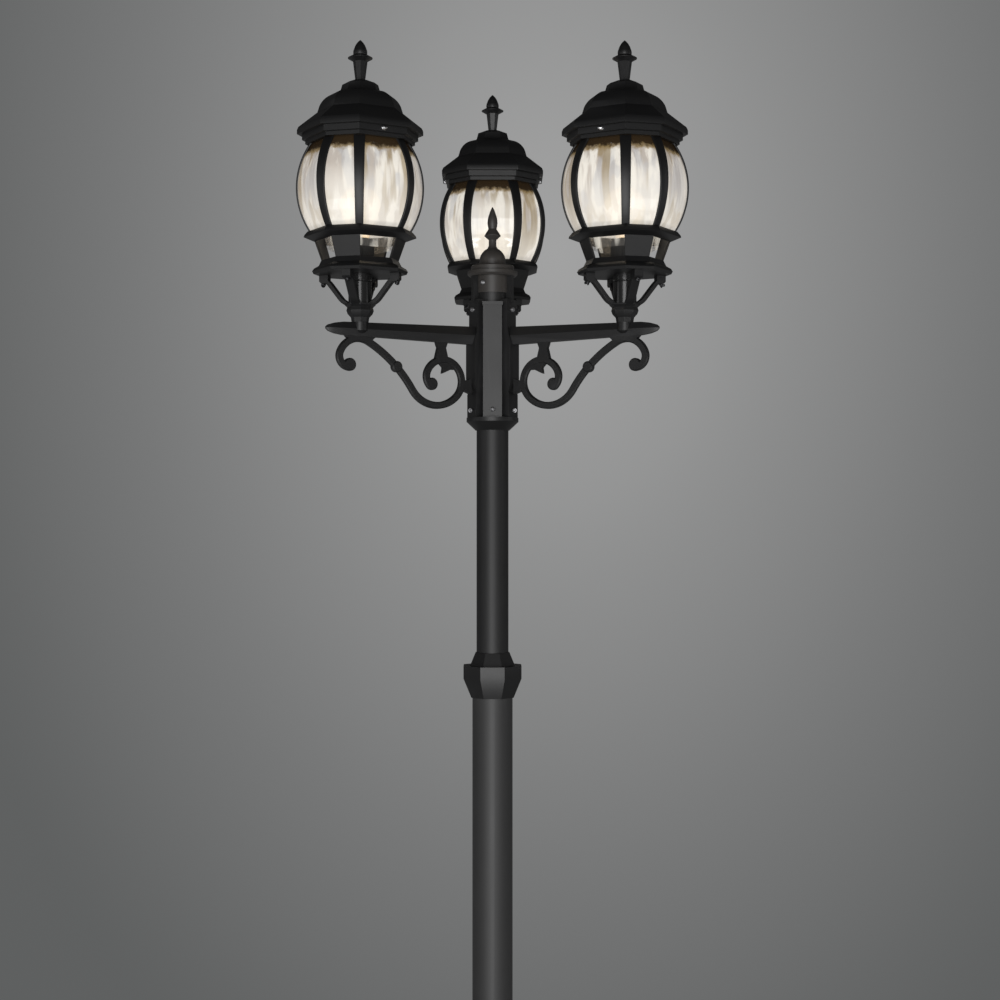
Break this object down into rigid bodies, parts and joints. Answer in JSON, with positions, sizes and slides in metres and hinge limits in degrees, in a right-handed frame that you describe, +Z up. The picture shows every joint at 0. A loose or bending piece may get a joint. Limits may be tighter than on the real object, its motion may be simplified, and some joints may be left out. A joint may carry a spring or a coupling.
{
  "type": "triple head lamp post",
  "caption": "Garden lamp post with eight-sided bulged lanterns on level arms over cast scrolls, round a stepped pole on a bell-shaped base.",
  "frame": {"origin": "centre of the base's underside, on the post's axis", "axes": "+Z up along the post, -Y towards the viewer of the picture, so that two lanterns stand front left and front right and the third stands behind, on +Y"},
  "size_m": [0.5728, 0.5142, 2.0967],
  "materials": {
    "black_casting": "satin black powder coat on cast aluminium, slightly uneven",
    "black_tube": "satin black powder coat on drawn aluminium tube",
    "gloss_black": "glossy black moulding",
    "holder_black": "satin black moulding",
    "clear_diffuser": "clear moulded acrylic, glossy",
    "bulb_glass": "lit warm white, clear",
    "bulb_cap_metal": "plated",
    "steel_screws": "bright",
    "black_screws": "black coated steel",
    "zinc_steel": "zinc plated",
    "contact_brass": "bright",
    "terminal_plastic": "moulded",
    "lead_sheath": "matte sheath"
  },
  "bodies": {
    "root": {"base": "black_casting", "base_screws": "steel_screws", "lower_tube": "black_tube", "upper_tube": "black_tube", "pole_collar": "black_casting", "collar_screws": "steel_screws", "hub_column": "black_casting", "hub_cap": "black_casting", "hub_finial": "black_casting", "hub_screws": "steel_screws", "hub_connector": "terminal_plastic", "terminal_block": "terminal_plastic", "mains_lead": "lead_sheath", "lamp_leads": "lead_sheath", "leg_screws": "black_screws", "stem_tubes": "gloss_black", "nipples": "zinc_steel", "nipple_nuts": "zinc_steel", "lampholder_contacts": "contact_brass", "top_ring_left": "black_casting", "ribs_left": "black_casting", "diffuser_left": "clear_diffuser", "basket_left": "black_casting", "leg_bracket_left": "black_casting", "lampholder_left": "holder_black", "arm_left": "black_casting", "scroll_left": "black_casting", "top_ring_right": "black_casting", "ribs_right": "black_casting", "diffuser_right": "clear_diffuser", "basket_right": "black_casting", "leg_bracket_right": "black_casting", "lampholder_right": "holder_black", "arm_right": "black_casting", "scroll_right": "black_casting", "top_ring_rear": "black_casting", "ribs_rear": "black_casting", "diffuser_rear": "clear_diffuser", "basket_rear": "black_casting", "leg_bracket_rear": "black_casting", "lampholder_rear": "holder_black", "arm_rear": "black_casting", "scroll_rear": "black_casting"},
    "roof_left_set": {"roof_left": "black_casting", "roof_finial_left": "black_casting", "roof_screws_left": "steel_screws"},
    "bulb_left": {"bulb_cap_left": "bulb_cap_metal", "bulb_glass_left": "bulb_glass"},
    "roof_right_set": {"roof_right": "black_casting", "roof_finial_right": "black_casting", "roof_screws_right": "steel_screws"},
    "bulb_right": {"bulb_cap_right": "bulb_cap_metal", "bulb_glass_right": "bulb_glass"},
    "roof_rear_set": {"roof_rear": "black_casting", "roof_finial_rear": "black_casting", "roof_screws_rear": "steel_screws"},
    "bulb_rear": {"bulb_cap_rear": "bulb_cap_metal", "bulb_glass_rear": "bulb_glass"}
  },
  "joints": [
    {"name": "roof_lift_left", "type": "slide", "parent": "root", "child": "roof_left_set", "axis": [0, 0, 1], "range_m": [0, 0.16]},
    {"name": "bulb_unscrew_left", "type": "hinge", "parent": "root", "child": "bulb_left", "pos_m": [-0.1931, -0.1115, 1.8], "axis": [0, 0, 1], "range_deg": [0, 1800]},
    {"name": "roof_lift_right", "type": "slide", "parent": "root", "child": "roof_right_set", "axis": [0, 0, 1], "range_m": [0, 0.16]},
    {"name": "bulb_unscrew_right", "type": "hinge", "parent": "root", "child": "bulb_right", "pos_m": [0.1931, -0.1115, 1.8], "axis": [0, 0, 1], "range_deg": [0, 1800]},
    {"name": "roof_lift_rear", "type": "slide", "parent": "root", "child": "roof_rear_set", "axis": [0, 0, 1], "range_m": [0, 0.16]},
    {"name": "bulb_unscrew_rear", "type": "hinge", "parent": "root", "child": "bulb_rear", "pos_m": [0, 0.223, 1.8], "axis": [0, 0, 1], "range_deg": [0, 1800]}
  ]
}
